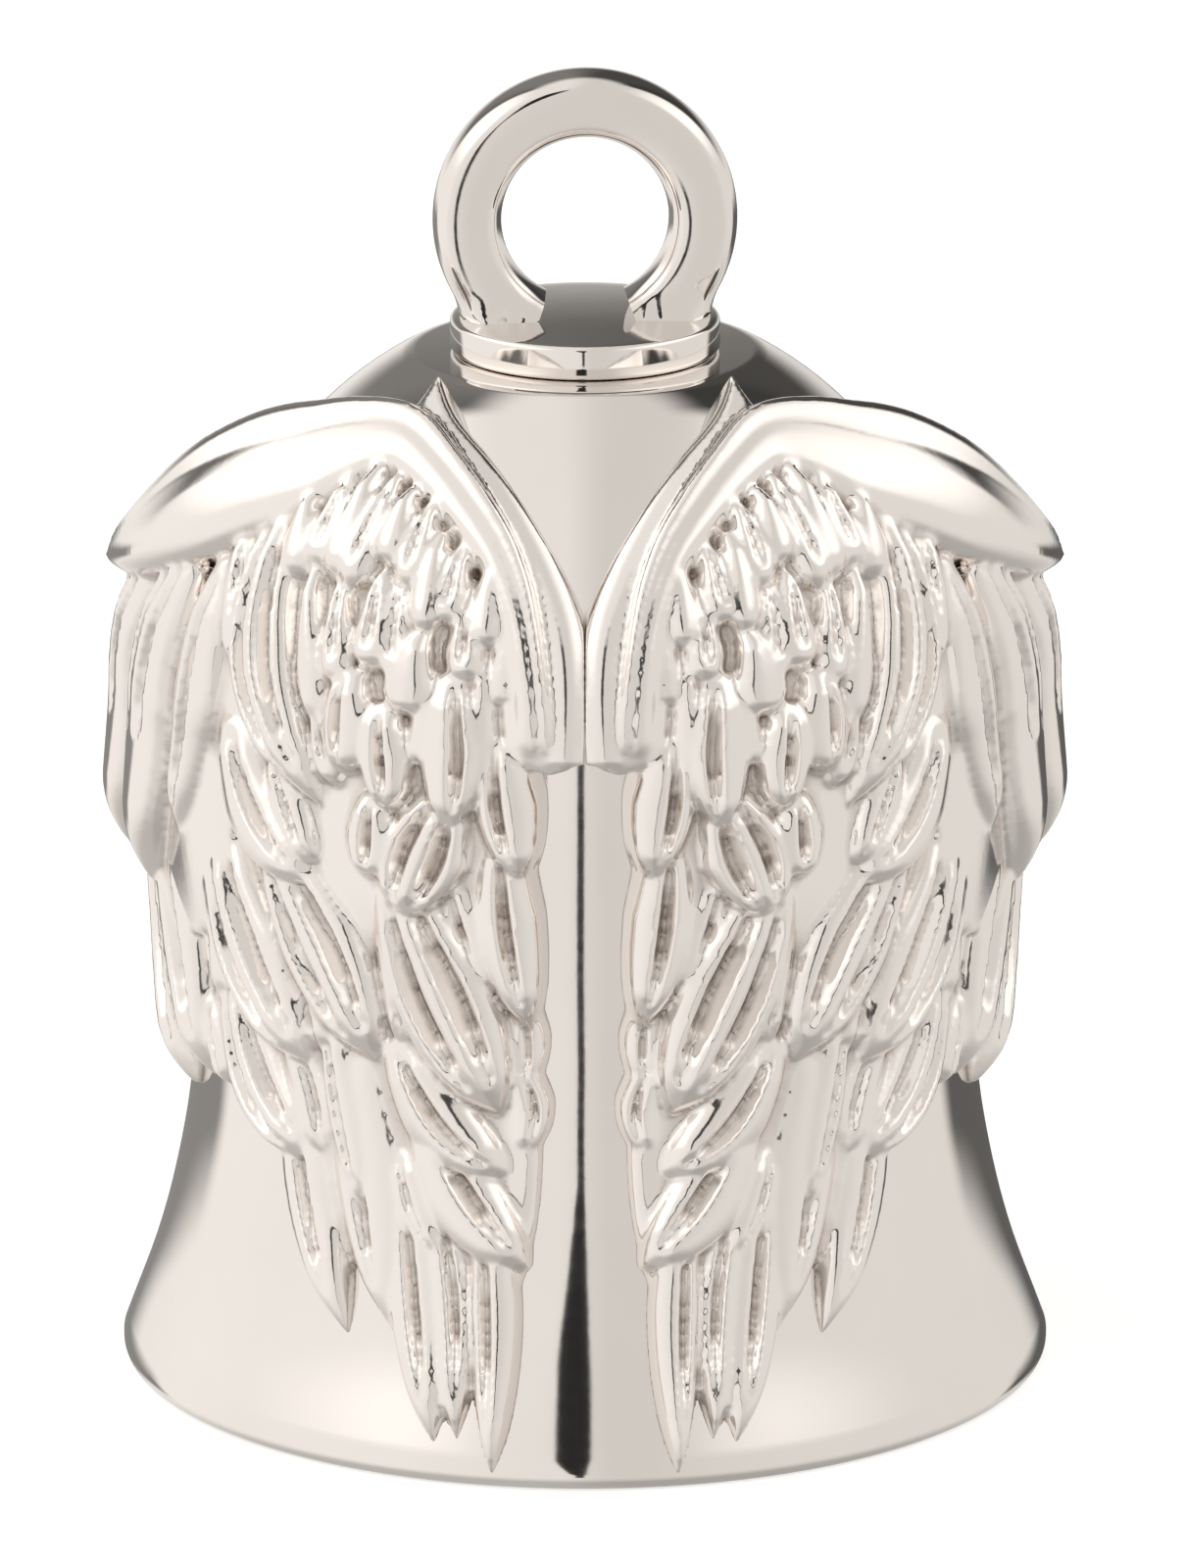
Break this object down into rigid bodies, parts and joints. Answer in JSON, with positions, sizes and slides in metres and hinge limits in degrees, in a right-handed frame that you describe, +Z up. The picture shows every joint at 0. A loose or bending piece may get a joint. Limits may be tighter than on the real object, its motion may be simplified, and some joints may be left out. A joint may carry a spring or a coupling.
{
  "type": "ride bell",
  "caption": "Small flared metal bell with feathered wings folded round its front, a hanging ring on a collar at the crown, and a ball clapper on a link inside.",
  "frame": {"origin": "middle of the mouth, on the plane that the rim stands on", "axes": "+Z up through the crown to the hanging ring, -Y out of the front where the wings meet, +X to the right of someone facing the wings"},
  "size_m": [0.028, 0.0273, 0.0381],
  "materials": {
    "bell_nickel": "bright polished nickel plate, warm white",
    "wing_nickel": "bright polished nickel plate on a cast relief, duller and brown-grey in the recesses",
    "ring_nickel": "bright polished nickel plate",
    "collar_nickel": "bright turned nickel plate",
    "nut_steel": "plain bright steel",
    "wire_steel": "drawn bright wire",
    "stem_steel": "drawn bright rod",
    "ball_nickel": "polished nickel plate"
  },
  "bodies": {
    "bell": {"bell_shell": "bell_nickel", "wing_left": "wing_nickel", "wing_right": "wing_nickel", "hanging_ring": "ring_nickel", "crown_collar": "collar_nickel", "crown_nut": "nut_steel", "clapper_staple": "wire_steel"},
    "link": {"jump_ring": "wire_steel"},
    "clapper": {"clapper_stem": "stem_steel", "clapper_ball": "ball_nickel"}
  },
  "joints": [
    {"name": "link_swing", "type": "hinge", "parent": "bell", "child": "link", "pos_m": [0, 0, 0.02405], "axis": [1, 0, 0], "range_deg": [-17.5, 17.5]},
    {"name": "clapper_swing", "type": "hinge", "parent": "link", "child": "clapper", "pos_m": [0, 0, 0.02233], "axis": [0, 1, 0], "range_deg": [-17.5, 17.5]}
  ]
}
